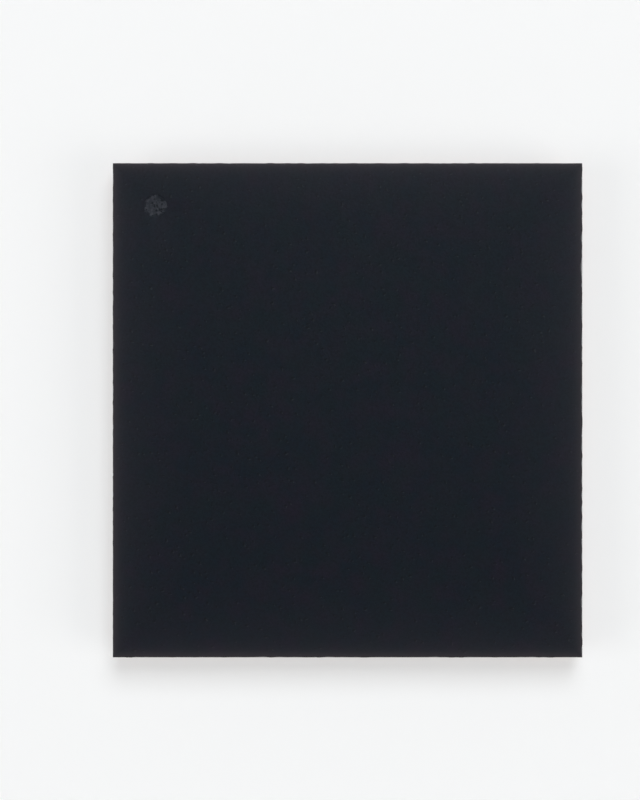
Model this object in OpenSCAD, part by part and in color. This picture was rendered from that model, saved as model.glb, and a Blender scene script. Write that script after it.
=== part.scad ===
// Power management chip: a wafer-level chip-scale package with a full grid of solder balls.
// Units are millimetres. The marking face looks up and the package stands on its balls.
// The origin is on the seating plane, below the middle of the die.
// The layers of the ball side are drawn as that side is seen, with column 0 at the left and row 0
// at the top, and are then turned over into place.

/* [Die] */
// Thickness of the silicon die
die_t = 0.31; // [0.2:0.01:0.5]
// Bare silicon between the sawn edge and the polyimide
street_w = 0.03; // [0.02:0.005:0.04]
// Cut across the corners of the polyimide and of both rings
corner_cut = 0.07; // [0.03:0.01:0.1]
// Distance from the sawn edge to the seal ring
seal_inset = 0.046; // [0.04:0.002:0.05]
// Width of the seal ring
seal_w = 0.016; // [0.01:0.002:0.018]
// Depth of the die's own top metal
metal_t = 0.004; // [0.002:0.001:0.01]
// Side of the square metal contact under each via
contact_w = 0.05; // [0.04:0.002:0.06]

/* [Marking film] */
// Thickness of the dark film on the back of the die
film_t = 0.04; // [0.02:0.005:0.08]
// Diameter of the round index mark
mark_d = 0.27; // [0.15:0.01:0.4]
// Distance from the middle of the index mark to both edges
mark_inset = 0.52; // [0.3:0.01:0.8]
// Depth that the laser has cut for the index mark
mark_depth = 0.006; // [0.002:0.001:0.015]

/* [Ball grid] */
// Distance between neighbouring balls
ball_pitch = 0.4; // [0.38:0.01:0.5]
// Balls in a row
columns = 13; // [12:1:16]
// Rows of balls
rows = 14; // [13:1:18]
// Outer columns to the sawn edge
side_margin = 0.45; // [0.42:0.01:0.6]
// First row to the sawn edge
top_margin = 0.37; // [0.36:0.01:0.6]
// Last row to the sawn edge
bottom_margin = 0.43; // [0.4:0.01:0.6]

/* [Balls and under-bump pads] */
// Diameter of a solder ball
ball_d = 0.24; // [0.22:0.01:0.3]
// Diameter of the ball's soldered foot
foot_d = 0.2; // [0.16:0.01:0.21]
// Width across flats of an octagonal under-bump pad
bump_w = 0.25; // [0.22:0.01:0.28]
// Thickness of an under-bump pad
bump_t = 0.008; // [0.004:0.001:0.02]
// Diameter of the opening in the cover film
opening_d = 0.17; // [0.1:0.01:0.2]

/* [Films and copper] */
// Thickness of the polyimide between die and copper
base_t = 0.008; // [0.005:0.001:0.015]
// Thickness of the redistribution copper
copper_t = 0.008; // [0.005:0.001:0.015]
// Thickness of the polyimide over the copper
cover_t = 0.01; // [0.005:0.001:0.02]
// Width across flats of a ball's landing in the copper
pad_w = 0.27; // [0.22:0.01:0.28]
// Width of an ordinary trace
trace_w = 0.03; // [0.02:0.002:0.036]
// Width of a broad trace
wide_w = 0.055; // [0.04:0.005:0.065]
// Width of a trace that shares a gap with others
fine_w = 0.022; // [0.016:0.002:0.026]
// Distance between traces that share a gap
fine_pitch = 0.038; // [0.034:0.002:0.044]
// Gap between neighbouring planes
copper_gap = 0.025; // [0.015:0.005:0.03]
// Diameter of the copper land round a via
land_d = 0.06; // [0.05:0.002:0.064]
// Diameter of a via through the base film
via_d = 0.03; // [0.02:0.002:0.04]
// Distance from the sawn edge to the outer vias
via_inset = 0.15; // [0.145:0.005:0.16]

/* [Ground ring and planes] */
// Distance from the sawn edge to the ground ring
ring_inset = 0.07; // [0.066:0.002:0.08]
// Width of the ground ring
ring_w = 0.03; // [0.02:0.002:0.036]
// Extra width of the ring's broad stretches
ring_land = 0.05; // [0.03:0.005:0.06]
// Leg of the triangle that fills a corner of the ring
gusset = 0.18; // [0.12:0.01:0.22]
// Cut across the outer corners of the column planes
plane_cut = 0.18; // [0.16:0.01:0.2]
// Rows that the column planes run down
plane_rows = 4; // [3:1:8]
// Copper left round a window in the base film
window_rim = 0.016; // [0.01:0.002:0.02]
// Depth by which the copper sinks over a window
window_dip = 0.004; // [0.002:0.001:0.005]

/* [Hidden] */
$fn = 48;

FILM = "#1f242c";
SILICON = "#85878c";
DIE_METAL = "#b9bbbd";
BASE_AMBER = "#5a2a12";
COVER_AMBER = "#c9802f";
COPPER = "#e0873a";
BUMP_COPPER = "#d9965a";
SOLDER = "#d6d8d8";

// Gaps between the column planes, as shares of the pitch to the right of columns 2, 3 and 4
PLANE_SPLITS = [0.6, 0.5, 0.39];
// Column planes, signal columns, upper and lower power planes, by the column or row they begin at
signal_count = 3;
plane_count = len(PLANE_SPLITS) + 1;
plane_first = 2;
plane_last = plane_first + plane_count - 1;
signal_first = plane_last + 1;
upper_first = signal_first + signal_count;
lower_first = 10;
ground_row = 6;
last_col = columns - 1;
last_row = rows - 1;

body_x = last_col * ball_pitch + 2 * side_margin;
body_y = last_row * ball_pitch + top_margin + bottom_margin;
edge_x = body_x / 2;
edge_y = body_y / 2;
via_x = edge_x - via_inset;
via_y = edge_y - via_inset;
ring_x = edge_x - ring_inset - ring_w;
ring_y = edge_y - ring_inset - ring_w;
pad_r = pad_w / 2;
land_r = land_d / 2;

ball_h = ball_d / 2 + sqrt(pow(ball_d / 2, 2) - pow(foot_d / 2, 2));
copper_top = base_t + copper_t;
cover_top = copper_top + cover_t;
foot_z = cover_top + bump_t;
// Height of the die's active face above the seating plane
face_z = foot_z + ball_h;

ROW_LETTERS = "abcdefghjklmnprtuvwy";
function bump_node(r) = str("under_bump_pads_row_", ROW_LETTERS[r]);
function ball_node(r) = str("solder_balls_row_", ROW_LETTERS[r]);

// Places on the ball side; a share is a part of the pitch, to the right or down
function col_x(c, share = 0) = (c + share) * ball_pitch + side_margin - edge_x;
function row_y(r, share = 0) = edge_y - top_margin - (r + share) * ball_pitch;
function at(c, r) = [col_x(c), row_y(r)];

// Outline of the die, drawn in by a distance, with its corners cut
function outline(inset, cut) =
    let (x = edge_x - inset, y = edge_y - inset)
    [[cut - x, y], [x - cut, y], [x, y - cut], [x, cut - y],
     [x - cut, -y], [cut - x, -y], [-x, cut - y], [-x, y - cut]];

// A trace is a path with a width: its sides are the path moved both ways and mitred at the bends
function apart(path) = [for (i = [0 : len(path) - 1])
    if (i == 0 || norm(path[i] - path[i - 1]) > via_d / 10) path[i]];
function side_of(a, b) = [a[1] - b[1], b[0] - a[0]] / norm(b - a);
function mitre(path, i, half) =
    let (n = len(path) - 1,
         before = side_of(path[max(i - 1, 0)], path[max(i, 1)]),
         after = side_of(path[min(i, n - 1)], path[min(i + 1, n)]))
    path[i] + half * (before + after) / (1 + before * after);
function trace_outline(path, w) =
    let (n = len(path) - 1)
    concat([for (i = [0 : n]) mitre(path, i, w / 2)],
           [for (i = [n : -1 : 0]) mitre(path, i, -w / 2)]);

// A route is a width and a path that begins at a via and ends in a ball's landing.
// From the left: along the vias to y_bend, at 45 degrees to the lane, and at 45 degrees to the ball.
function side_route(w, y_via, y_lane, ball, y_bend = undef, lead = 0) =
    let (y_turn = y_bend == undef ? y_via : y_bend, aim = ball - [lead, 0])
    [w, apart([[-via_x, y_via], [-via_x, y_turn], [abs(y_lane - y_turn) - via_x, y_lane],
               [aim[0] - abs(aim[1] - y_lane), y_lane], aim, ball])];
// From the top: at 45 degrees to the lane, down it, and at 45 degrees to the ball
function top_route(w, x_via, x_lane, ball, lead = 0) =
    let (aim = ball + [0, lead])
    [w, apart([[x_via, via_y], [x_lane, via_y - abs(x_lane - x_via)],
               [x_lane, aim[1] + abs(aim[0] - x_lane)], aim, ball])];

// Left edge: nine lanes pass between the outer balls to the second column
LEFT_LANES = [
    side_route(trace_w, row_y(2, -0.235), row_y(2, -0.445), at(1, 2), lead = ball_pitch / 4),
    side_route(trace_w, row_y(2, 0.25), row_y(2, 0.495), at(1, 3)),
    side_route(wide_w, row_y(3, 0.525), row_y(3, 0.525), at(1, 4)),
    side_route(wide_w, row_y(4, 0.51), row_y(4, 0.51), at(1, 5)),
    side_route(trace_w, row_y(5, 0.62), row_y(5, 0.51), at(1, 5)),
    side_route(trace_w, row_y(7, 0.27), row_y(7, 0.42), at(1, 7)),
    side_route(trace_w, row_y(8), row_y(8, -0.42), at(1, 8), y_bend = row_y(8, -0.25)),
    side_route(trace_w, row_y(8, 0.47), row_y(8, 0.47), at(1, 9)),
    side_route(trace_w, row_y(11, -0.09), row_y(9, 0.45), at(1, 9), y_bend = row_y(10))
];
// Left edge: short jogs from the outer balls of three rows to their vias
jog_x = min(0.675 * ball_pitch, col_x(0) + via_x);
LEFT_JOGS = [
    [wide_w, [[-via_x, row_y(1, -0.425)], [0.175 * ball_pitch - via_x, row_y(1, -0.25)],
              [col_x(0), row_y(1, -0.25)]]],
    [wide_w, [[-via_x, row_y(7, -0.175)], [0.125 * ball_pitch - via_x, row_y(7, -0.3)],
              [col_x(0), row_y(7, -0.3)]]],
    [wide_w, apart([[-via_x, row_y(9, 0.675)], [jog_x - via_x, row_y(9)], at(0, 9)])]
];
// Left edge: blocks of copper between an outer ball and two vias, by row and by the vias' shares
LEFT_BLOCKS = [[3, -0.285, -0.02], [4, -0.155, 0.14], [5, -0.06, 0.235]];
left_drop = [-via_x, row_y(2)];
left_arm = [-via_x, row_y(8, 0.27)];

// Top edge: three traces share the gap left of the column planes
FINE_LANES = [for (k = [-1 : 1])
    top_route(fine_w, col_x(plane_first, 0.275 * k - 0.5), col_x(plane_first, -0.5) + k * fine_pitch,
              at(plane_first, plane_rows + 1 - k))];
// Top edge: two traces share the gap right of the column planes
GAP_LANES = [
    top_route(fine_w, col_x(plane_last, 0.155), col_x(plane_last, 0.5) - fine_pitch, at(signal_first, 3)),
    top_route(fine_w, col_x(plane_last, 0.5) + fine_pitch / 2, col_x(plane_last, 0.5) + fine_pitch / 2,
              at(signal_first, 2))
];
// Top edge: a signal column has a landing with its own via and a lane to the ball below it
signal_cols = [signal_first : upper_first - 1];
function is_house(c) = (c - signal_first) % 2 == 0;
function signal_via(c) = [col_x(c, -0.07), via_y];
SIGNAL_LANES = [for (c = signal_cols)
    top_route(fine_w, col_x(c, is_house(c) ? 0.41 : 0.22), col_x(c, 0.41), at(c, 1), lead = pad_r / 2)];
SIGNAL_STEMS = [for (c = signal_cols) if (!is_house(c))
    [wide_w, [signal_via(c), [col_x(c, -0.07), row_y(0)]]]];
// Ground ties run from the ring down beside each signal column to the third row
function tie_x(c) = col_x(c, 0.56);
TIES = [for (c = signal_cols)
    [trace_w, [[tie_x(c), ring_y + ring_w / 2], [tie_x(c), row_y(2) + col_x(c + 1) - tie_x(c)],
               at(c + 1, 2)]]];

// Right and bottom edges: each outer ball has a straight trace to its via
RIGHT_STUBS = [for (r = [2 : last_row]) [wide_w, [[via_x, row_y(r)], at(last_col, r)]]];
BOTTOM_STEMS = [for (c = [plane_first : last_col - 1]) [wide_w, [[col_x(c), -via_y], at(c, last_row)]]];

// The other balls have a via of their own, midway between four landings
function is_inner(c, r) = !(c <= plane_last && r < plane_rows)
    && !(c == plane_first && r < plane_rows + 3)
    && !(c == signal_first && r <= 3)
    && !(c > signal_first && c <= upper_first && r == 2);
INNER_ROUTES = [for (c = [plane_first : last_col - 1], r = [2 : last_row - 1]) if (is_inner(c, r))
    [trace_w, [[col_x(c, 0.5), row_y(r, 0.5)], at(c, r)]]];

function route_vias(routes) = [for (t = routes) t[1][0]];
function route_balls(routes) = [for (t = routes) t[1][len(t[1]) - 1]];

// Column planes: x of the gaps between them, then the sides and the via of each
function split_x(i) = col_x(plane_first + i, PLANE_SPLITS[i]);
function plane_l(i) = i == 0 ? col_x(plane_first) - pad_r : split_x(i - 1) + copper_gap / 2;
function plane_r(i) = i == plane_count - 1 ? col_x(plane_last) + pad_r : split_x(i) - copper_gap / 2;
plane_top = via_y + land_r;
plane_bottom = row_y(plane_rows - 1) - pad_r;
function plane_via(i) = [col_x(plane_first + i, i == 0 ? 0.1 : -0.1), via_y];

// Power planes: split between the two upper rows and between the two left columns
upper_split = row_y(0, 0.43);
upper_l = col_x(upper_first) - pad_r;
upper_r = col_x(last_col, 0.44);
lower_split = col_x(0) + pad_r;
lower_top = row_y(lower_first) + pad_r;
lower_bottom = land_d - via_y;
upper_stub = [via_x, row_y(0)];
LOWER_STUBS = [for (c = [0, 1]) [col_x(c, -0.05), -via_y]];

// Windows, each a box [left, bottom, right, top] through which a plane meets the die
COLUMN_WINDOWS = [for (i = [0 : plane_count - 1], upper = [false, true])
    let (middle = col_x(plane_first + i), left = plane_l(i) + window_rim, right = plane_r(i) - window_rim)
    !upper ? [left, plane_bottom + window_rim, right, row_y(0, 0.2)]
    : i < plane_count / 2 ? [middle, row_y(0, 0.3), right, row_y(0, -0.36)]
    : [left, row_y(0, 0.3), middle, row_y(0, -0.36)]];
UPPER_WINDOWS = [
    [upper_l + window_rim, upper_split + copper_gap / 2 + window_rim, upper_r - window_rim, row_y(0, -0.1)],
    [upper_l + window_rim, row_y(1) - pad_r + window_rim, col_x(last_col) + pad_r - window_rim,
     upper_split - copper_gap / 2 - window_rim]
];
LOWER_WINDOWS = [
    [col_x(0, -0.5) + window_rim, lower_bottom + window_rim, lower_split - 2 * window_rim,
     row_y(lower_first)],
    [lower_split + copper_gap + 2 * window_rim, lower_bottom + window_rim,
     col_x(1) + pad_r - window_rim, row_y(lower_first)]
];

// Broad stretches of the ground ring: start, end and the way inwards
RING_LANDS = [
    [[-ring_x, row_y(1, -0.22)], [-ring_x, row_y(1, 0.52)], [1, 0]],
    [[-ring_x, row_y(11, 0.32)], [-ring_x, row_y(last_row, 0.5)], [1, 0]],
    [[col_x(upper_first, -0.38), ring_y], [col_x(last_col, 0.3), ring_y], [0, -1]],
    [[ring_x, row_y(0, 0.34)], [ring_x, row_y(1, 0.4)], [-1, 0]]
];
// The window of a broad stretch runs along its middle
function land_window(s) =
    let (a = s[0] - s[2] * (ring_w - window_rim), b = s[1] + s[2] * (ring_land - window_rim),
         along = (s[1] - s[0]) / norm(s[1] - s[0]) * ring_land, p = a + along, q = b - along)
    [min(p[0], q[0]), min(p[1], q[1]), max(p[0], q[0]), max(p[1], q[1])];
RING_WINDOWS = [for (s = RING_LANDS) land_window(s)];

LEFT_VIAS = concat(route_vias(LEFT_LANES), route_vias(LEFT_JOGS), [left_drop, left_arm],
    [for (b = LEFT_BLOCKS, i = [1, 2]) [-via_x, row_y(b[0], b[i])]]);
TOP_VIAS = concat(route_vias(FINE_LANES), route_vias(GAP_LANES), route_vias(SIGNAL_LANES),
    [for (c = signal_cols) signal_via(c)]);
RIGHT_VIAS = route_vias(RIGHT_STUBS);
BOTTOM_VIAS = route_vias(BOTTOM_STEMS);
INNER_VIAS = route_vias(INNER_ROUTES);
PLANE_VIAS = [for (i = [0 : plane_count - 1]) plane_via(i)];
ALL_VIAS = concat(LEFT_VIAS, TOP_VIAS, RIGHT_VIAS, BOTTOM_VIAS, INNER_VIAS, PLANE_VIAS, [upper_stub],
    LOWER_STUBS);
ALL_WINDOWS = concat(COLUMN_WINDOWS, UPPER_WINDOWS, LOWER_WINDOWS, RING_WINDOWS);

// Turns what is drawn on the ball side over, with the die's active face at zero
module ball_side() translate([0, 0, face_z]) rotate([0, 180, 0]) children();

module layer(z, t) translate([0, 0, z]) linear_extrude(t) children();

module octagon(w) rotate(180 / 8) circle(d = w / cos(180 / 8), $fn = 8);

module pads(balls, w = pad_w) for (b = balls) translate(b) octagon(w);

module lands(vias) for (v = vias) translate(v) circle(d = land_d);

module holes(vias) for (v = vias) translate(v) circle(d = via_d);

module box(b) translate([b[0], b[1]]) square([b[2] - b[0], b[3] - b[1]]);

module traces(routes) for (t = routes) polygon(trace_outline(t[1], t[0]));

// A landing drawn out towards its via: it keeps its full width up to the shoulder
module drop(via, ball, shoulder) {
    way = (via - ball) / norm(via - ball);
    across = [-way[1], way[0]];
    neck = ball + way * shoulder;
    polygon([via + across * land_r, neck + across * pad_r, ball + across * pad_r,
             ball - across * pad_r, neck - across * pad_r, via - across * land_r]);
}

// Openings of the base film under a set of planes: the windows, less an island under each landing
module windows(boxes, grow = 0) difference() {
    for (b = boxes) box(b + [-grow, -grow, grow, grow]);
    pads([for (c = [0 : last_col], r = [0 : last_row]) at(c, r)], pad_w + 2 * (window_rim - grow));
}

// Plated copper: the pattern on the base film, with its plugs down to the die and its dips over windows
module copper(vias, boxes = []) color(COPPER) ball_side() {
    difference() {
        layer(base_t, copper_t) children();
        if (len(boxes) > 0) layer(copper_top - window_dip, 2 * window_dip) windows(boxes);
    }
    if (len(vias) > 0) layer(0, base_t + copper_t / 4) holes(vias);
    if (len(boxes) > 0) layer(0, base_t + copper_t / 4) windows(boxes);
}

module ring(inset, w) difference() {
    polygon(outline(inset, corner_cut));
    polygon(outline(inset + w, corner_cut));
}

// Copper patterns, each the shapes of one node
module ground_shape() {
    slot_x = col_x(0, -0.42);
    slot_cut = 0.08 * ball_pitch;
    pad_cut = pad_r * (1 - tan(180 / 8));
    corner_rise = col_x(0) + ring_x - pad_w;
    fillet = [0.1, 0.25] * ball_pitch;
    ring(ring_inset, ring_w);
    for (s = RING_LANDS) {
        along = (s[1] - s[0]) / norm(s[1] - s[0]) * ring_land;
        root = s[2] * ring_w / 2;
        polygon([s[0] - root, s[0], s[0] + along + s[2] * ring_land,
                 s[1] - along + s[2] * ring_land, s[1], s[1] - root]);
    }
    for (corner = [[1, 1], [1, -1], [-1, -1]])
        polygon([for (leg = [[-ring_w / 2, corner_cut], [-ring_w / 2, gusset], [gusset, -ring_w / 2],
                             [corner_cut, -ring_w / 2]])
            [corner[0] * (ring_x - leg[0]), corner[1] * (ring_y - leg[1])]]);
    // First two balls of the top row and the second ball of the next, joined to the ring at the corner
    polygon([[-ring_x - ring_w / 2, ring_y - corner_cut], [corner_cut - ring_x, ring_y + ring_w / 2],
             [slot_x, ring_y + ring_w / 2], [slot_x, row_y(0) + pad_r + slot_cut],
             [slot_x + slot_cut, row_y(0) + pad_r],
             [col_x(1) + pad_r - pad_cut, row_y(0) + pad_r], [col_x(1) + pad_r, row_y(0) + pad_r - pad_cut],
             [col_x(1) + pad_r, row_y(1, 0.48)], [col_x(0, 0.46), row_y(1, 0.48)],
             [col_x(0, 0.46), row_y(0) - pad_r], [col_x(0) - pad_r, row_y(0) - pad_r],
             [-ring_x, row_y(0) + corner_rise], [-ring_x - ring_w / 2, row_y(0) + corner_rise]]);
    // A plane from the ring to the second ball of the ground row, with a notch between its balls
    difference() {
        polygon([[-ring_x - ring_w / 2, row_y(ground_row, -0.17)],
                 [col_x(0, -0.44), row_y(ground_row, -0.17)],
                 [col_x(0, -0.25), row_y(ground_row, -0.36)], [col_x(1) + pad_r, row_y(ground_row, -0.36)],
                 [col_x(1) + pad_r, row_y(ground_row, 0.45)],
                 [-ring_x - ring_w / 2, row_y(ground_row, 0.45)]]);
        box([col_x(0, 0.4), row_y(ground_row, 0.19), col_x(0, 0.6), row_y(ground_row, -0.06)]);
    }
    traces(TIES);
    for (c = signal_cols)
        polygon([[tie_x(c) - fillet[0], ring_y + ring_w / 2], [tie_x(c) - fillet[0], ring_y],
                 [tie_x(c), ring_y - fillet[0]], [tie_x(c), ring_y - fillet[1]],
                 [tie_x(c) + fillet[1], ring_y], [tie_x(c) + fillet[1], ring_y + ring_w / 2]]);
    pads(route_balls(TIES));
}

module column_plane_shape(i) {
    cut_l = i == 0 ? plane_cut : 0;
    cut_r = i == plane_count - 1 ? plane_cut : 0;
    polygon([[plane_l(i) + cut_l, plane_top], [plane_r(i) - cut_r, plane_top],
             [plane_r(i), plane_top - cut_r], [plane_r(i), plane_bottom], [plane_l(i), plane_bottom],
             [plane_l(i), plane_top - cut_l]]);
    lands([plane_via(i)]);
}

module upper_plane_shape() {
    box([upper_l, upper_split + copper_gap / 2, upper_r, row_y(0) + pad_r]);
    box([upper_l, row_y(1) - pad_r, col_x(last_col) + pad_r, upper_split - copper_gap / 2]);
    traces([[1.5 * wide_w, [upper_stub + [land_r, 0], at(last_col, 0)]]]);
}

module lower_plane_shape() {
    outer_cut = 0.28 * ball_pitch;
    outer = [for (r = [lower_first : last_row]) at(0, r)];
    polygon([[col_x(0, -0.5) + outer_cut, lower_top], [lower_split - copper_gap / 2, lower_top],
             [lower_split - copper_gap / 2, lower_bottom], [col_x(0, -0.5), lower_bottom],
             [col_x(0, -0.5), lower_top - outer_cut]]);
    pads(outer);
    difference() {
        box([lower_split + copper_gap / 2, lower_bottom, col_x(1) + pad_r, lower_top]);
        pads(outer, pad_w + 2 * copper_gap);
    }
    for (v = LOWER_STUBS) translate(v)
        polygon([[-1.5 * wide_w, land_d + land_r], [-1.5 * wide_w, land_d], [-wide_w, land_r], [-wide_w, 0],
                 [land_r - wide_w, -land_r], [wide_w - land_r, -land_r], [wide_w, 0], [wide_w, land_r],
                 [1.5 * wide_w, land_d], [1.5 * wide_w, land_d + land_r]]);
}

module left_shape() {
    pads([for (r = [1 : lower_first - 1]) if (r != ground_row) at(0, r)]);
    pads(route_balls(LEFT_LANES));
    lands(LEFT_VIAS);
    traces(LEFT_LANES);
    traces(LEFT_JOGS);
    drop(left_drop, at(0, 2), 0.48 * ball_pitch);
    for (b = LEFT_BLOCKS)
        polygon([[-via_x - land_r, row_y(b[0]) + pad_r - land_r], [-via_x, row_y(b[0]) + pad_r],
                 [col_x(0), row_y(b[0]) + pad_r], [col_x(0), row_y(b[0], b[2]) - land_r],
                 [-via_x, row_y(b[0], b[2]) - land_r], [-via_x - land_r, row_y(b[0], b[2])]]);
    polygon([[col_x(0, -0.52), row_y(8) + pad_r - land_d], [col_x(0, -0.52) + land_d, row_y(8) + pad_r],
             [col_x(0), row_y(8) + pad_r], [col_x(0), row_y(8) - pad_r], [-via_x, row_y(8) - pad_r],
             [-via_x - land_r, row_y(8) - pad_r + land_r], [-via_x - land_r, row_y(8, 0.14)],
             [col_x(0, -0.52), row_y(8, 0.14)]]);
}

module top_shape() {
    lands(TOP_VIAS);
    traces(FINE_LANES);
    traces(GAP_LANES);
    traces(SIGNAL_LANES);
    traces(SIGNAL_STEMS);
    pads(concat(route_balls(FINE_LANES), route_balls(GAP_LANES), route_balls(SIGNAL_LANES)));
    pads([for (c = signal_cols) at(c, 0)]);
    for (c = signal_cols) if (is_house(c)) drop(signal_via(c), at(c, 0), pad_r * 0.8);
}

module edge_shape(routes) {
    traces(routes);
    lands(route_vias(routes));
    pads(route_balls(routes));
}

module all_copper_shape() {
    ground_shape();
    for (i = [0 : plane_count - 1]) column_plane_shape(i);
    upper_plane_shape();
    lower_plane_shape();
    left_shape();
    top_shape();
    edge_shape(concat(RIGHT_STUBS, BOTTOM_STEMS, INNER_ROUTES));
}

// Square contacts under the vias and straps under the windows, flush in the die's active face
module contact_shape() {
    for (v = ALL_VIAS) translate(v) square(contact_w, center = true);
    for (b = ALL_WINDOWS) box(b + [-1, -1, 1, 1] * window_rim / 4);
}

// Physical pieces, from the top down
module marking_film() color(FILM) difference() {
    translate([-edge_x, -edge_y, face_z + die_t]) cube([body_x, body_y, film_t]);
    translate([mark_inset - edge_x, edge_y - mark_inset, face_z + die_t + film_t - mark_depth])
        cylinder(d = mark_d, h = 2 * mark_depth);
}

module silicon_die() color(SILICON) difference() {
    translate([-edge_x, -edge_y, face_z]) cube([body_x, body_y, die_t]);
    ball_side() layer(-metal_t, 2 * metal_t) contact_shape();
    ball_side() layer(-metal_t, 2 * metal_t) ring(seal_inset, seal_w);
}

module seal_ring() color(DIE_METAL) ball_side() layer(-metal_t, metal_t) ring(seal_inset, seal_w);

module die_contact_pads() color(DIE_METAL) ball_side() layer(-metal_t, metal_t) contact_shape();

module polyimide_base() color(BASE_AMBER) ball_side() layer(0, base_t) difference() {
    polygon(outline(street_w, corner_cut));
    holes(ALL_VIAS);
    windows(ALL_WINDOWS);
}

module ground_ring() copper([], RING_WINDOWS) ground_shape();

module column_planes() copper(PLANE_VIAS, COLUMN_WINDOWS)
    for (i = [0 : plane_count - 1]) column_plane_shape(i);

module upper_power_planes() copper([upper_stub], UPPER_WINDOWS) upper_plane_shape();

module lower_power_planes() copper(LOWER_STUBS, LOWER_WINDOWS) lower_plane_shape();

module left_edge_traces() copper(LEFT_VIAS) left_shape();

module top_edge_traces() copper(TOP_VIAS) top_shape();

module right_edge_traces() copper(RIGHT_VIAS) edge_shape(RIGHT_STUBS);

module bottom_edge_traces() copper(BOTTOM_VIAS) edge_shape(BOTTOM_STEMS);

module inner_pads() copper(INNER_VIAS) edge_shape(INNER_ROUTES);

// The cover fills round the copper and over it, and is open to the copper at every ball
module polyimide_cover() color(COVER_AMBER) ball_side() difference() {
    union() {
        layer(base_t, copper_t + cover_t / 2) difference() {
            polygon(outline(street_w, corner_cut));
            all_copper_shape();
        }
        layer(copper_top, cover_t) polygon(outline(street_w, corner_cut));
        layer(copper_top - window_dip, window_dip + cover_t / 2) windows(ALL_WINDOWS);
    }
    layer(copper_top, 2 * cover_t)
        for (c = [0 : last_col], r = [0 : last_row]) translate(at(c, r)) circle(d = opening_d);
}

// An under-bump pad lies on the cover and reaches down its opening to the copper
module under_bump_row(r) color(BUMP_COPPER) ball_side()
    for (c = [0 : last_col]) translate(at(c, r)) {
        layer(cover_top, bump_t) octagon(bump_w);
        layer(copper_top, cover_t + bump_t / 2) circle(d = opening_d);
    }

// A reflowed ball is a sphere cut off flat where it is soldered to its pad
module solder_ball_row(r) color(SOLDER) ball_side()
    for (c = [0 : last_col]) translate(concat(at(c, r), foot_z)) difference() {
        translate([0, 0, ball_h - ball_d / 2]) sphere(d = ball_d);
        translate([0, 0, -ball_d / 2]) cube(ball_d, center = true);
    }

marking_film();
silicon_die();
seal_ring();
die_contact_pads();
polyimide_base();
ground_ring();
column_planes();
upper_power_planes();
lower_power_planes();
left_edge_traces();
top_edge_traces();
right_edge_traces();
bottom_edge_traces();
inner_pads();
polyimide_cover();
for (r = [0 : last_row]) {
    under_bump_row(r);
    solder_ball_row(r);
}
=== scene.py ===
"""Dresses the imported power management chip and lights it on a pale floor.

The chip lies balls down with its marking face up. The die, the base film, the pads and the solder balls keep
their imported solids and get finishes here. The marking film, the copper and the clear cover film are new
surfaces. Sizes of the chip, the lens and the sensor are in millimetres, and those of the studio in metres.
"""

import logging
import math
from collections.abc import Iterable
from dataclasses import dataclass, field
from enum import Enum

import bmesh
import bpy
import numpy as np
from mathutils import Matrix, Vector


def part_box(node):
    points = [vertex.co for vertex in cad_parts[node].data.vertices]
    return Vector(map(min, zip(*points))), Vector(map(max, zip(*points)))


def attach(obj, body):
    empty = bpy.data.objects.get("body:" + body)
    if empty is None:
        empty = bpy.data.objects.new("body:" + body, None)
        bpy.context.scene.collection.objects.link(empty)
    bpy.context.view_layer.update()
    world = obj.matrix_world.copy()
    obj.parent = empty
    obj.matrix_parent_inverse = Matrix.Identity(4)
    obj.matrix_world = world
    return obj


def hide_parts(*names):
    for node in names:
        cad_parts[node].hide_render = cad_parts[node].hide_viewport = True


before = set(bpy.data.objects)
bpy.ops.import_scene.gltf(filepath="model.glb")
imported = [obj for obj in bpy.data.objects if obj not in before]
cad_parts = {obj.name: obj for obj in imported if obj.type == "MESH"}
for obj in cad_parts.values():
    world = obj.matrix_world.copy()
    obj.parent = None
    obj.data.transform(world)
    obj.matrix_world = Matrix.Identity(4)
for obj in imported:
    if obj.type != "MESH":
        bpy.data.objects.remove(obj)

LOG = logging.getLogger("chip")
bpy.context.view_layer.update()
MM = 0.001
WELD_DIGITS = 5
AXIS_DIGITS = 3
FLAT_SLACK = 1e-4
FILM_CREASE_DEG = 40.0

Colour = tuple[float, float, float]
Triple = tuple[float, float, float]
Pair = tuple[float, float]
Socket = bpy.types.NodeSocket
Value = float | tuple[float, ...] | Socket
Inputs = dict[str | int, Value]


class Slot(Enum):
    """The record's material slots for the new pieces, which nothing in the script uses."""

    MARKING_FILM = "marking_film"
    COPPER = "copper"
    COVER_FILM = "cover_polyimide"


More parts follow.
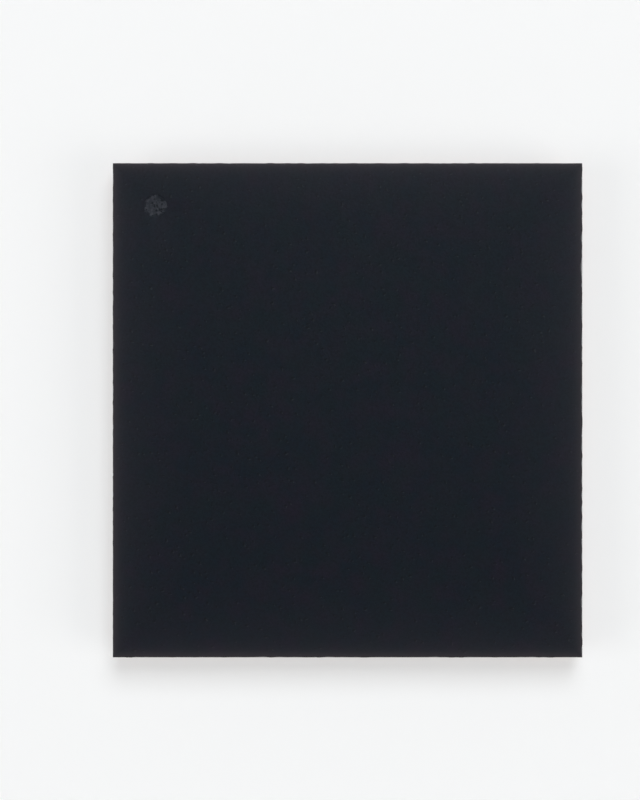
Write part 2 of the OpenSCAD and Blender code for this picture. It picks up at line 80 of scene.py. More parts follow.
class Graph:
    """A shader node tree, with short calls that add nodes and join their sockets."""

    def __init__(self, tree: bpy.types.NodeTree) -> None:
        """Keeps the tree that the nodes go into."""
        self.tree = tree

    def put(self, socket: Socket, value: Value) -> None:
        """Joins an output to a socket, or sets the socket's own value.

        Args:
            socket: The input that takes the value.
            value: An output socket, a number, a vector or a colour of three numbers.
        """
        if isinstance(value, Socket):
            self.tree.links.new(value, socket)
        else:
            socket.default_value = (*value, 1.0) if socket.type == "RGBA" else value

    def add(self, kind: str, inputs: Inputs | None = None, **options: object) -> bpy.types.Node:
        """Adds one node.

        Args:
            kind: The node's type, without the words that every shader node's type begins with.
            inputs: What each named or numbered input takes.
            **options: The node's own settings.

        Returns:
            The new node.
        """
        node = self.tree.nodes.new(f"ShaderNode{kind}")
        for name, option in options.items():
            setattr(node, name, option)
        for name, value in (inputs or {}).items():
            self.put(node.inputs[name], value)
        return node

    def math(self, operation: str, first: Value, second: Value = 0.0) -> Socket:
        """Returns the result of one Math node."""
        return self.add("Math", {0: first, 1: second}, operation=operation).outputs[0]

    def times(self, first: Value, second: Value) -> Socket:
        """Returns the product of two numbers."""
        return self.math("MULTIPLY", first, second)

    def vector(self, operation: str, first: Value, second: Value = (0.0, 0.0, 0.0)) -> Socket:
        """Returns the vector that comes out of one Vector Math node."""
        return self.add("VectorMath", {0: first, 1: second}, operation=operation).outputs[0]

    def noise(self, place: Socket, scale: Value, **others: float) -> Socket:
        """Returns a noise of a place, from 0 to 1, with the node's other inputs named in small letters."""
        named = {name.capitalize(): value for name, value in others.items()}
        return self.add("TexNoise", {"Vector": place, "Scale": scale, **named}).outputs[0]

    def span(self, value: Value, low: Value, high: Value, start: Value = 0.0, end: Value = 1.0) -> Socket:
        """Carries a value smoothly from low and high onto start and end, and holds it beyond them."""
        places = {"Value": value, "From Min": low, "From Max": high, "To Min": start, "To Max": end}
        return self.add("MapRange", places, interpolation_type="SMOOTHSTEP").outputs[0]

    def layers(self, body: Value, *coats: tuple[Value, Value, float]) -> Value:
        """Lays colours over a body colour, one after another.

        Args:
            body: The colour underneath.
            *coats: Each colour, the mask where it shows, and the strength at which it shows there.

        Returns:
            The colour on top.
        """
        for colour, mask, strength in coats:
            share = mask if strength == 1.0 else self.times(mask, strength)
            body = self.add("Mix", {0: share, 6: body, 7: colour}, data_type="RGBA").outputs[2]
        return body


@dataclass
class Coat:
    """A material while it is made: its graph, its Principled shader and the place on the piece."""

    graph: Graph
    shader: bpy.types.Node
    place: Socket

    def set(self, **inputs: Value) -> None:
        """Sets or joins the shader's inputs, each named in small letters with underscores."""
        for name, value in inputs.items():
            self.graph.put(self.shader.inputs[name.replace("_", " ").title().replace("Ior", "IOR")], value)

    def bump(self, height: Socket, depth: float, strength: float) -> None:
        """Gives the surface relief: a height up to 1, the depth that 1 stands for, and how much shows."""
        relief = self.graph.add("Bump", {"Height": height, "Distance": depth * MM, "Strength": strength})
        self.set(normal=relief.outputs[0])

    def inset(self, half_x: float, half_y: float) -> Socket:
        """Measures how far inwards a place lies from the nearest side of a rectangle about the origin.

        Args:
            half_x: Half the rectangle's width.
            half_y: Half its length.

        Returns:
            The distance.
        """
        away = self.graph.add("SeparateXYZ", {0: self.graph.vector("ABSOLUTE", self.place)}).outputs
        sides = (self.graph.math("SUBTRACT", half, away[i]) for i, half in enumerate((half_x, half_y)))
        return self.graph.math("MINIMUM", *sides)

    def height(self) -> Socket:
        """Returns the height above the floor."""
        return self.graph.add("SeparateXYZ", {0: self.place}).outputs[2]


class Effect:
    """One shader node group that several finishes share: its graph, its inputs and its outputs."""

    def __init__(self, name: str, numbers: Iterable[str], outputs: Iterable[str]) -> None:
        """Makes the group with its sockets, the first of which takes a place.

        Args:
            name: The group's name.
            numbers: The names of the number inputs.
            outputs: The names of the masks that come out.
        """
        self.graph = Graph(bpy.data.node_groups.new(name, "ShaderNodeTree"))
        sockets, nodes = self.graph.tree.interface, self.graph.tree.nodes
        sockets.new_socket("Place", in_out="INPUT", socket_type="NodeSocketVector")
        for number in numbers:
            sockets.new_socket(number, in_out="INPUT", socket_type="NodeSocketFloat")
        for output in outputs:
            sockets.new_socket(output, in_out="OUTPUT", socket_type="NodeSocketFloat")
        self.given = nodes.new("NodeGroupInput").outputs
        self.results = nodes.new("NodeGroupOutput").inputs

    def give(self, **results: Socket) -> "Effect":
        """Joins the results to the outputs.

        Args:
            **results: What each output gives, by its name in small letters.

        Returns:
            The finished effect.
        """
        for name, result in results.items():
            self.graph.put(self.results[name.capitalize()], result)
        return self

    def on(self, coat: Coat, place: Socket | None = None, **numbers: float) -> bpy.types.NodeOutputs:
        """Puts the group into a material.

        Args:
            coat: The material while it is made.
            place: The place on the piece, where it isn't the coat's own.
            **numbers: The number inputs, each by its name in small letters.

        Returns:
            The group's outputs.
        """
        inputs = {"Place": coat.place if place is None else place}
        inputs.update({name.capitalize(): number for name, number in numbers.items()})
        return coat.graph.add("Group", inputs, node_tree=self.graph.tree).outputs


class SharedEffects:
    """The effects that more than one finish uses, each built once."""

    def __init__(self) -> None:
        """Builds every effect."""
        self.grain, self.specks, self.mottle = self._grain(), self._specks(), self._mottle()

    @staticmethod
    def _grain() -> Effect:
        """Makes fine grain and broad clouds: two noises of one place, the clouds eight times as wide.

        Returns:
            The effect.
        """
        effect = Effect("fine_grain", ("Scale",), ("Grain", "Cloud"))
        graph, place, scale = effect.graph, effect.given["Place"], effect.given["Scale"]
        fine = graph.noise(place, scale, detail=2.0, roughness=0.6)
        broad = graph.noise(place, graph.times(scale, 1 / 8), detail=3.0, roughness=0.55)
        return effect.give(grain=graph.span(fine, 0.28, 0.72), cloud=graph.span(broad, 0.3, 0.7))

    @staticmethod
    def _specks() -> Effect:
        """Makes small ragged specks: the near parts of a share of the cells of a Voronoi pattern.

        A noise 2.5 times as fine as the cells shakes them by up to about a third of a cell. A speck fades
        out from 0.4 of its radius.

        Returns:
            The effect.
        """
        effect = Effect("dust_specks", ("Scale", "Radius", "Share"), ("Mask",))
        graph, given = effect.graph, effect.given
        place, scale = given["Place"], given["Scale"]
        noise = graph.add("TexNoise", {"Vector": place, "Scale": graph.times(scale, 2.5), "Detail": 1.0})
        even = graph.vector("SUBTRACT", noise.outputs["Color"], (0.5, 0.5, 0.5))
        shaken = graph.vector("ADD", place, graph.vector("MULTIPLY", even, graph.math("DIVIDE", 0.7, scale)))
        cells = graph.add("TexVoronoi", {"Vector": shaken, "Scale": scale}).outputs
        chance = graph.add("SeparateColor", {"Color": cells["Color"]}).outputs[0]
        near = graph.span(cells["Distance"], given["Radius"], graph.times(given["Radius"], 0.4))
        return effect.give(mask=graph.times(near, graph.math("LESS_THAN", chance, given["Share"])))

    @staticmethod
    def _mottle() -> Effect:
        """Makes the mottling of cast or plated metal: soft patches of one noise, and pits of a finer one.

        Returns:
            The effect.
        """
        effect = Effect("metal_mottle", ("Scale",), ("Patch", "Pit"))
        graph, place, scale = effect.graph, effect.given["Place"], effect.given["Scale"]
        soft = graph.noise(place, scale, detail=3.0, distortion=0.6)
        fine = graph.noise(place, graph.times(scale, 4.5), detail=2.0)
        return effect.give(patch=graph.span(soft, 0.32, 0.68), pit=graph.span(fine, 0.6, 0.72))


def blank_material(name: str) -> tuple[bpy.types.Material, Graph]:
    """Makes a material without nodes.

    Args:
        name: The material's name.

    Returns:
        The material and its graph.
    """
    material = bpy.data.materials.new(name)
    material.use_nodes = True
    material.node_tree.nodes.clear()
    return material, Graph(material.node_tree)


@dataclass(frozen=True)
class Finish:
    """What all finishes share: a name, and a material with one Principled shader."""

    name: str

    def paint(self, coat: Coat, effects: SharedEffects) -> None:
        """Paints the material, in each finish's own way."""
        raise NotImplementedError

    def material(self, effects: SharedEffects) -> bpy.types.Material:
        """Builds the material.

        Args:
            effects: The shared effects.

        Returns:
            The painted material.
        """
        material, graph = blank_material(self.name)
        shader = graph.add("BsdfPrincipled")
        graph.add("OutputMaterial", {"Surface": shader.outputs[0]})
        metres = graph.add("TexCoord").outputs["Object"]
        self.paint(Coat(graph, shader, graph.vector("MULTIPLY", metres, (1.0 / MM,) * 3)), effects)
        return material


@dataclass(frozen=True)
class MarkingFilmFinish(Finish):
    """Dark satin film: navy grain, faint clouds, pits painted as a shaded dot beside a highlight dot, paler
    towards the edges with a painted highlight along them, and a lasered spot.
    """

    half_x: float = 2.85
    half_y: float = 3.00
    blue: Colour = (0.0030, 0.0065, 0.0126)
    violet: Colour = (0.0084, 0.0060, 0.0138)
    teal: Colour = (0.0036, 0.0084, 0.0108)
    # A paler band towards the edges, a painted highlight along the edge, pale dots of painted highlight that
    # are also the pale specks in the spot, and a dark tone for grain, for the painted shade of pits and for
    # dark specks in the spot.
    pale_band: Colour = (0.0300, 0.0270, 0.0345)
    rim: Colour = (0.0440, 0.0370, 0.0405)
    dust_and_highlight: Colour = (0.060, 0.062, 0.066)
    pit: Colour = (0.0015, 0.0022, 0.0036)
    laser: Colour = (0.0355, 0.0375, 0.0465)
    sheen: Colour = (0.83, 0.94, 1.0)
    rough: Pair = (0.46, 0.56)
    pale_band_and_highlight_w: Pair = (0.35, 0.045)
    pit_shade_shift: Triple = (0.016, -0.013, 0.0)
    patch_share: float = 0.32
    spot_edge: Pair = (0.10, 0.36)
    spot_limit: Pair = (0.0, 0.04)
    burn: Pair = (0.40, 1.0)
    spot_rough: float = 0.15

    def paint(self, coat: Coat, effects: SharedEffects) -> None:
        """Lays clouds, grain, painted pit shade and highlight dots, a paler band and a painted edge
        highlight over navy, and then the lasered spot.

        The paler band and the painted edge highlight fall off inwards as exponentials of the distance to the
        nearest edge. Each pit is a dark dot of painted shade beside a pale dot of painted highlight: the
        same specks, shifted a little. The spot shows where the laser_zone attribute and soft patches
        together are high, so its edge is ragged.

        Args:
            coat: The material while it is made.
            effects: The shared effects.
        """
        graph = coat.graph
        # Painted pit shade, some clouds and the spot's pale specks lie at this shifted place.
        beside = graph.vector("ADD", coat.place, self.pit_shade_shift)
        mirrored = graph.vector("MULTIPLY", beside, (1.0, -1.0, 1.0))
        grain, drift = effects.grain.on(coat, scale=36.0), effects.grain.on(coat, mirrored, scale=24.0)
        # Pale dots of painted highlight on the lit side of each pit; the next line paints the pit's shaded
        # side as dark dots.
        dust_and_highlight = effects.specks.on(coat, scale=12.0, radius=0.17, share=0.8)["Mask"]
        pits = effects.specks.on(coat, beside, scale=12.0, radius=0.26, share=0.8)["Mask"]
        inset = coat.inset(self.half_x, self.half_y)
        # A paler band towards the edges, and a painted highlight along the edge itself.
        pale_band, rim = (graph.math("EXPONENT", graph.times(inset, -1 / reach)) for reach in self.pale_band_and_highlight_w)
        body = graph.layers(
            self.blue, (self.violet, grain["Cloud"], 1.0), (self.teal, drift["Cloud"], 0.6),
            (self.pit, grain["Grain"], 0.5), (self.pit, pits, 0.9), (self.pale_band, pale_band, 0.32),
            (self.rim, rim, 0.84), (self.dust_and_highlight, dust_and_highlight, 0.18))
        patch = effects.mottle.on(coat, scale=22.0)["Patch"]
        dots = effects.specks.on(coat, scale=34.0, radius=0.60, share=0.6)["Mask"]
        sparks = effects.specks.on(coat, beside, scale=40.0, radius=0.40, share=0.22)["Mask"]
        zone = graph.add("Attribute", attribute_name="laser_zone").outputs["Fac"]
        ragged = graph.math("ADD", zone, graph.times(patch, self.patch_share))
        shown = graph.times(graph.span(ragged, *self.spot_edge), graph.span(zone, *self.spot_limit))
        burnt = graph.span(patch, 0.0, 1.0, *self.burn)
        lasered = graph.layers(
            body, (self.laser, burnt, 1.0), (self.dust_and_highlight, sparks, 0.5), (self.pit, dots, 0.85))
        satin = graph.span(grain["Grain"], 0.0, 1.0, *self.rough)
        rough = graph.math("ADD", satin, graph.times(shown, self.spot_rough))
        coat.set(base_color=graph.layers(body, (lasered, shown, 1.0)), roughness=rough,
                 specular_ior_level=0.14, specular_tint=self.sheen)
        relief = graph.math("SUBTRACT", grain["Grain"], graph.times(dots, shown))
        coat.bump(relief, depth=0.0012, strength=0.35)


@dataclass(frozen=True)
class SiliconFinish(Finish):
    """Sawn silicon: cool grey with blade marks along the cut and small bright chips along its two edges."""

    bottom: float = 0.2203
    top: float = 0.5303
    chipped_w: float = 0.030
    mark_stretch: Triple = (2.2, 2.2, 120.0)
    line_stretch: Triple = (0.5, 0.5, 34.0)
    dark: Colour = (0.105, 0.108, 0.115)
    light: Colour = (0.30, 0.305, 0.315)
    chip: Colour = (0.60, 0.61, 0.62)
    rough: Pair = (0.34, 0.52)

    def paint(self, coat: Coat, effects: SharedEffects) -> None:
        """Draws out one noise along the cut for the marks and another for the lines, and chips the edges.

        Args:
            coat: The material while it is made.
            effects: The shared effects.
        """
        graph, height = coat.graph, coat.height()
        fine = graph.noise(graph.vector("MULTIPLY", coat.place, self.mark_stretch), 1.0, detail=3.0)
        broad = graph.noise(graph.vector("MULTIPLY", coat.place, self.line_stretch), 1.0, detail=1.0)
        mark, line = graph.span(fine, 0.3, 0.7), graph.span(broad, 0.56, 0.64)
        edges = graph.math("MAXIMUM", graph.span(height, self.top - self.chipped_w, self.top),
                           graph.span(height, self.bottom + self.chipped_w, self.bottom))
        chips = graph.times(effects.specks.on(coat, scale=26.0, radius=0.42, share=0.5)["Mask"], edges)
        body = graph.layers(
            self.dark, (self.light, mark, 1.0), (self.chip, line, 0.45), (self.chip, chips, 0.6))
        coat.set(base_color=body, metallic=0.35, roughness=graph.span(mark, 0.0, 1.0, *self.rough))
        coat.bump(graph.math("ADD", mark, chips), depth=0.002, strength=0.5)


@dataclass(frozen=True)
class PlatedFinish(Finish):
    """Plated metal with a fine grain, soft patches of tone and small pits."""

    deep: Colour = (0.80, 0.205, 0.022)
    bright: Colour = (1.00, 0.340, 0.052)
    rough: Pair = (0.52, 0.30)
    scale: float = 9.0
    patch_share: float = 0.45

    def marked(self, coat: Coat, body: Socket) -> Socket:
        """Returns the colour with what is marked on this metal alone, which is nothing on plain metal."""
        return body

    def paint(self, coat: Coat, effects: SharedEffects) -> None:
        """Brightens and smooths the metal by patches and grain together, and darkens its pits.

        Args:
            coat: The material while it is made.
            effects: The shared effects.
        """
        graph, grain = coat.graph, effects.grain.on(coat, scale=42.0)["Grain"]
        mottle = effects.mottle.on(coat, scale=self.scale)
        patches = graph.times(mottle["Patch"], self.patch_share)
        tone = graph.math("ADD", patches, graph.times(grain, 1 - self.patch_share))
        body = graph.layers(self.deep, (self.bright, tone, 1.0), (self.deep, mottle["Pit"], 0.35))
        coat.set(base_color=self.marked(coat, body), metallic=0.9,
                 roughness=graph.span(tone, 0.0, 1.0, *self.rough))
        coat.bump(grain, depth=0.0008, strength=0.3)


@dataclass(frozen=True)
class CopperFinish(PlatedFinish):
    """Plated copper under amber film: redder in its dips, with painted shade at their feet and a painted
    highlight along its edges.
    """

    # Redder copper in the dips, painted shade at the dips' feet, and a painted highlight on the sloped
    # edges.
    sunk: Colour = (0.76, 0.155, 0.012)
    foot_shade: Colour = (0.36, 0.055, 0.006)
    edge: Colour = (1.00, 0.46, 0.150)
    dips: Pair = (0.2071, 0.2081)

    def marked(self, coat: Coat, body: Socket) -> Socket:
        """Marks the dips by their height, and by a face attribute paints a highlight on the sloped edges and
        shade on the dips' feet, where it is below 0.

        Args:
            coat: The material while it is made.
            body: The metal's colour.

        Returns:
            The marked colour.
        """
        dip = coat.graph.span(coat.height(), *self.dips)
        line = coat.graph.add("Attribute", attribute_name="edge_highlight_and_shade").outputs["Fac"]
        return coat.graph.layers(
            body, (self.sunk, dip, 1.0), (self.foot_shade, line, -0.85), (self.edge, line, 0.85))


@dataclass(frozen=True)
class SolderFinish(Finish):
    """Reflowed solder: silver white with patches and speckles below, grey painted shade on the sides, and
    some dimples.
    """

    frost: Colour = (0.60, 0.595, 0.57)
    bright: Colour = (1.00, 0.99, 0.94)
    # Grey painted shade on the sides and upper part of each ball, towards the pad.
    side: Colour = (0.56, 0.56, 0.56)
    speckle: Colour = (0.23, 0.23, 0.225)
    dimple: Colour = (0.07, 0.07, 0.075)
    rough: Pair = (0.50, 0.36)
    sides: Pair = (0.035, 0.090)
    speckled: Pair = (0.080, 0.035)
    pitch: float = 0.40
    first: Triple = (-2.40, 2.63, 0.0)
    dimple_r: float = 0.022
    dimple_core: float = 0.6
    dimple_top: float = 0.03
    dimpled: float = 0.34
    speckle_depth: float = 0.6

    def dimples(self, coat: Coat) -> Socket:
        """Marks the lowest point of some balls.

        The place is counted in ball pitches from the first ball. What is left of the nearest whole count
        gives the distance from that ball's axis. A chance number of the count picks a third of the balls.

        Args:
            coat: The material while it is made.

        Returns:
            The mask of the dimples.
        """
        graph, radius = coat.graph, self.dimple_r / self.pitch
        moved = graph.vector("SUBTRACT", coat.place, self.first)
        steps = graph.vector("MULTIPLY", moved, (1 / self.pitch, 1 / self.pitch, 0.0))
        count = graph.vector("FLOOR", graph.vector("ADD", steps, (0.5, 0.5, 0.0)))
        apart = graph.add("VectorMath", {0: steps, 1: count}, operation="DISTANCE").outputs["Value"]
        chance = graph.add("TexWhiteNoise", {"Vector": count}).outputs["Value"]
        low = graph.math("LESS_THAN", coat.height(), self.dimple_top)
        near = graph.times(graph.span(apart, radius, self.dimple_core * radius), low)
        return graph.times(near, graph.math("LESS_THAN", chance, self.dimpled))

    def paint(self, coat: Coat, effects: SharedEffects) -> None:
        """Lays patches, grey painted shade on the sides, speckles and dimples over the solder, and sinks the
        last two.

        Args:
            coat: The material while it is made.
            effects: The shared effects.
        """
        graph, height, dimples = coat.graph, coat.height(), self.dimples(coat)
        patch = effects.mottle.on(coat, scale=15.0)["Patch"]
        grain = effects.grain.on(coat, scale=80.0)["Grain"]
        speckles = effects.specks.on(coat, scale=26.0, radius=0.40, share=0.34)["Mask"]
        speckles = graph.times(speckles, graph.span(height, *self.speckled))
        # The grey painted shade grows up the sides from 0.035 mm and is full from 0.09 mm.
        body = graph.layers(
            self.frost, (self.bright, patch, 1.0), (self.side, graph.span(height, *self.sides), 0.85),
            (self.speckle, speckles, 0.70), (self.dimple, dimples, 0.85))
        coat.set(base_color=body, metallic=0.62, roughness=graph.span(patch, 0.0, 1.0, *self.rough))
        sunk = graph.math("MAXIMUM", graph.times(speckles, self.speckle_depth), dimples)
        coat.bump(graph.math("SUBTRACT", grain, sunk), depth=0.002, strength=0.4)


@dataclass(frozen=True)
class BaseFilmFinish(Finish):
    """Brown polyimide under the copper: olive stripes of the die's wiring, and the seal ring's glow.

    A wave texture of the wires' scale has about 13 stripes to a millimetre.
    """

    half_x: float = 2.82
    half_y: float = 2.97
    seal: Colour = (0.250, 0.078, 0.011)
    rim: Colour = (0.210, 0.125, 0.040)
    brown: Colour = (0.050, 0.0066, 0.0028)
    dark: Colour = (0.026, 0.0030, 0.0015)
    olive: Colour = (0.080, 0.036, 0.0050)
    rough: Pair = (0.26, 0.38)
    wire_scale: float = 4.0625
    seal_w: Pair = (0.040, 0.034)
    rim_w: Pair = (0.016, 0.012)

    def paint(self, coat: Coat, effects: SharedEffects) -> None:
        """Lays brown grain, stripes where the film is clearest, the seal ring and the rim over dark film.

        Args:
            coat: The material while it is made.
            effects: The shared effects.
        """
        graph, grain = coat.graph, effects.grain.on(coat, scale=26.0)
        wave = {"Vector": coat.place, "Scale": self.wire_scale, "Distortion": 0.0}
        wires = graph.span(graph.add("TexWave", wave, bands_direction="X").outputs["Fac"], 0.45, 0.65)
        shown = graph.times(wires, graph.span(grain["Cloud"], 0.72, 0.86))
        inset = coat.inset(self.half_x, self.half_y)
        body = graph.layers(
            self.dark, (self.brown, grain["Grain"], 1.0), (self.olive, shown, 1.0),
            (self.seal, graph.span(inset, *self.seal_w), 1.0),
            (self.rim, graph.span(inset, *self.rim_w), 1.0))
        coat.set(base_color=body, roughness=graph.span(grain["Grain"], 0.0, 1.0, *self.rough),
                 specular_ior_level=0.08)
        coat.bump(grain["Grain"], depth=0.0008, strength=0.25)


@dataclass(frozen=True)
class CoverFilmFinish(Finish):
    """Clear amber polyimide: glossy, thin enough to see the copper through, a little thicker in places."""

    thin: Colour = (0.70, 0.20, 0.020)
    thick: Colour = (0.45, 0.11, 0.008)
    rough: Pair = (0.14, 0.26)
    opaque: Pair = (0.055, 0.085)

    def paint(self, coat: Coat, effects: SharedEffects) -> None:
        """Makes the film darker and less clear where it is thick, and lays some dust on it.

        Args:
            coat: The material while it is made.
            effects: The shared effects.
        """
        graph, grain = coat.graph, effects.grain.on(coat, scale=18.0)
        dust_and_highlight = effects.specks.on(coat, scale=4.0, radius=0.08, share=0.2)["Mask"]
        film = graph.span(grain["Cloud"], 0.0, 1.0, *self.opaque)
        coat.set(base_color=graph.layers(self.thin, (self.thick, grain["Cloud"], 1.0)), ior=1.65,
                 roughness=graph.span(grain["Grain"], 0.0, 1.0, *self.rough),
                 alpha=graph.math("ADD", film, graph.times(dust_and_highlight, 0.12)))
        coat.bump(grain["Cloud"], depth=0.001, strength=0.25)


def add_object(name: str, data: bpy.types.ID) -> bpy.types.Object:
    """Puts a new object into the scene.

    Args:
        name: The object's name.
        data: Its mesh, lamp or camera.

    Returns:
        The object, at the origin.
    """
    item = bpy.data.objects.new(name, data)
    bpy.context.scene.collection.objects.link(item)
    return item


def link_piece(name: str, points: np.ndarray, faces: list[list[int]], crease_deg: float,
               node: str = "") -> bpy.types.Object:
    """Makes a piece of points and faces, with every face outwards.

    Args:
        name: The piece's name.
        points: Its points, one row of three each.
        faces: The numbers of the points round each face.
        crease_deg: Edges that turn more than this stay sharp.
        node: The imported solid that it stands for, if there is one.

    Returns:
        The piece, which rides on the chip.
    """
    mesh = bpy.data.meshes.new(name)
    mesh.from_pydata((points * MM).tolist(), [], faces)
    shell = bmesh.new()
    shell.from_mesh(mesh)
    bmesh.ops.recalc_face_normals(shell, faces=shell.faces)
    shell.to_mesh(mesh)
    shell.free()
    mesh.shade_smooth()
    mesh.set_sharp_from_angle(angle=math.radians(crease_deg))
    piece = add_object(name, mesh)
    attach(piece, "root")
    if node:
        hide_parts(node)
    return piece


def ring_faces(rows: int, columns: int) -> np.ndarray:
    """Joins neighbouring rows of points, each a closed ring, with four-sided faces.

    Args:
        rows: How many rings there are.
        columns: How many points each ring has.

    Returns:
        The faces, four point numbers each.
    """
    here = np.arange(rows * columns).reshape(rows, columns)
    beside = np.roll(here, -1, axis=1)
    return np.stack([here[:-1], beside[:-1], beside[1:], here[1:]], axis=-1).reshape(-1, 4)


def fan_faces(pole: int, ring: np.ndarray) -> np.ndarray:
    """Joins one point to a closed ring with triangles, three point numbers each."""
    return np.column_stack([np.full(len(ring), pole), ring, np.roll(ring, -1)])


def at_height(flat: np.ndarray, height: float) -> np.ndarray:
    """Returns rows of x and y with a height as their third number."""
    return np.concatenate([flat, np.full((*flat.shape[:-1], 1), height)], axis=-1)


class Edge(Enum):
    """The marking film's edges, in the order in which its outline runs round it."""

    BOTTOM = 0
    RIGHT = 1
    TOP = 2
    LEFT = 3


@dataclass(frozen=True)
class Wear:
    """How far one edge of the film is worn back, and how many nicks it has."""

    mean: float
    ripple: float
    nicks: int
    nick_depth: float


@dataclass
class MarkingFilm:
    """The dark film on the die's back, with worn, nicked edges and a shallow laser spot.

    Each ring of the spot has a share of its radius, a share of its depth from the floor up, and how far it
    lies in the spot.
    """

    mark_d: float = 0.27
    mark_inset: float = 0.52
    mark_depth: float = 0.006
    spot_rings: tuple[Triple, ...] = (
        (0.5, 0.0, 0.5), (0.94, 0.0, 0.08), (0.99, 0.3, 0.04), (1.02, 0.9, 0.02), (1.06, 1.0, 0.0))
    bearing_share: float = 0.7
    fan_shares: Triple = (0.1, 0.4, 0.7)
    insets: Triple = (0.30, 0.10, 0.03)
    round_r: float = 0.005
    round_steps: int = 4
    wall_shares: Pair = (0.55, 0.0)
    foot_wear: float = 0.3
    wear_reach: float = 0.1
    per_mm: float = 84.0
    waves: int = 16
    waves_per_mm: Pair = (0.8, 8.0)
    nick_half_w: Pair = (0.015, 0.09)
    nick_shares: Pair = (0.2, 1.0)
    nick_clear: float = 0.1
    corner_fade: float = 0.08
    least_wear: float = 0.0008
    seed: int = 11
    wear: dict[Edge, Wear] = field(default_factory=lambda: {
        Edge.BOTTOM: Wear(0.005, 0.0020, 26, 0.008), Edge.RIGHT: Wear(0.0070, 0.0042, 60, 0.008),
        Edge.TOP: Wear(0.003, 0.0010, 22, 0.006), Edge.LEFT: Wear(0.003, 0.0014, 26, 0.010)})

    def __post_init__(self) -> None:
        """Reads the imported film's box."""
        low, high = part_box("marking_film")
        self.low, self.high = np.array(low) / MM, np.array(high) / MM
        self.centre = (self.low[:2] + self.high[:2]) / 2
        self.mark = np.array([self.low[0] + self.mark_inset, self.high[1] - self.mark_inset])

    def worn_edge(self, wear: Wear, length: float, draw: np.random.Generator) -> np.ndarray:
        """Works out the wear along one edge: a sum of sine waves, and nicks shaped as upturned parabolas.

        Args:
            wear: The edge's wear.
            length: The edge's length.
            draw: The seeded source of chance.

        Returns:
            How far each sample along the edge lies further in than the mean wear.
        """
        along = np.arange(round(length * self.per_mm)) / self.per_mm
        waves, turns = draw.uniform(*self.waves_per_mm, self.waves), draw.uniform(0, 2 * np.pi, self.waves)
        ripple = np.sin(2 * np.pi * np.outer(along, waves) + turns).sum(axis=1) / np.sqrt(self.waves / 2)
        place = draw.uniform(self.nick_clear, length - self.nick_clear, wear.nicks)
        half = draw.uniform(*self.nick_half_w, wear.nicks)
        depth = wear.nick_depth * draw.uniform(*self.nick_shares, wear.nicks) ** 3
        nicks = depth * np.clip(1 - ((along[:, None] - place) / half) ** 2, 0, None)
        ends = np.clip(np.minimum(along, length - along) / self.corner_fade, 0, 1)
        return np.clip(ends * (wear.ripple * ripple + nicks.sum(axis=1)), self.least_wear - wear.mean, None)

    def outline(self) -> tuple[np.ndarray, np.ndarray]:
        """Runs round the four edges and moves each sample inwards by its wear.

        Returns:
            The straight outline and the worn one, anticlockwise, one row of x and y each.
        """
        draw = np.random.default_rng(self.seed)
        mean = {edge: self.wear[edge].mean for edge in Edge}
        left, right = self.low[0] + mean[Edge.LEFT], self.high[0] - mean[Edge.RIGHT]
        bottom, top = self.low[1] + mean[Edge.BOTTOM], self.high[1] - mean[Edge.TOP]
        corners = np.array([(left, bottom), (right, bottom), (right, top), (left, top)])
        inwards = np.array([(0, 1), (-1, 0), (0, -1), (1, 0)])
        straight, worn = [], []
        for edge in Edge:
            start, end = corners[edge.value], corners[(edge.value + 1) % 4]
            extra = self.worn_edge(self.wear[edge], float(np.abs(end - start).sum()), draw)
            straight.append(start + np.outer(np.arange(len(extra)) / len(extra), end - start))
            worn.append(straight[-1] + np.outer(extra, inwards[edge.value]))
        return np.concatenate(straight), np.concatenate(worn)

    def rows(self) -> tuple[np.ndarray, np.ndarray]:
        """Carries the outline inwards to the laser spot, and down the edge to the film's underside.

        A point's first parameter is its place round the outline, which gives its angle on the spot: between
        its bearing from the spot and an even spread. The second runs from the spot's middle, over its floor
        and wall, along straight lines to the outline shrunk about the film's centre, over a small rounding
        and down the edge.

        Returns:
            The rings of points, and how far each point lies in the laser spot.
        """
        straight, worn = self.outline()
        half = float(min(self.high[:2] - self.low[:2])) / 2

        def shrunk(inset: float) -> np.ndarray:
            """Returns the outline drawn in towards the film's centre, the less worn the further in."""
            edge = straight + (worn - straight) * max(0.0, 1 - inset / self.wear_reach)
            return self.centre + (edge - self.centre) * (1 - inset / half)

        def wall(share: float) -> np.ndarray:
            """Returns the outline at a share of the edge's height, the less worn the lower."""
            return straight + (worn - straight) * (self.foot_wear + (1 - self.foot_wear) * share)

        inner = shrunk(self.insets[0])
        bearing = np.unwrap(np.arctan2(*(inner - self.mark).T[::-1]))
        steady = 2 * np.pi * np.arange(len(inner)) / len(inner)
        even = steady + np.mean(bearing - steady)
        angle = self.bearing_share * bearing + (1 - self.bearing_share) * even
        away = np.column_stack([np.cos(angle), np.sin(angle)]) * self.mark_d / 2
        top, bottom, floor = self.high[2], self.low[2], self.high[2] - self.mark_depth
        rings = [(self.mark + away * reach, floor + self.mark_depth * rise, zone)
                 for reach, rise, zone in self.spot_rings]
        rim = rings[-1][0]
        rings += [(rim + (inner - rim) * share, top, 0.0) for share in self.fan_shares]
        rings += [(shrunk(inset), top, 0.0) for inset in self.insets]
        turns = np.linspace(0, np.pi / 2, self.round_steps)
        bend = zip(self.round_r * (1 - np.sin(turns)), self.round_r * (1 - np.cos(turns)))
        rings += [(shrunk(inset), top - drop, 0.0) for inset, drop in bend]
        rings += [(wall(share), bottom + (top - bottom) * share, 0.0) for share in self.wall_shares]
        points = np.stack([at_height(flat, height) for flat, height, _ in rings])
        return points, np.repeat([zone for _, _, zone in rings], len(straight))

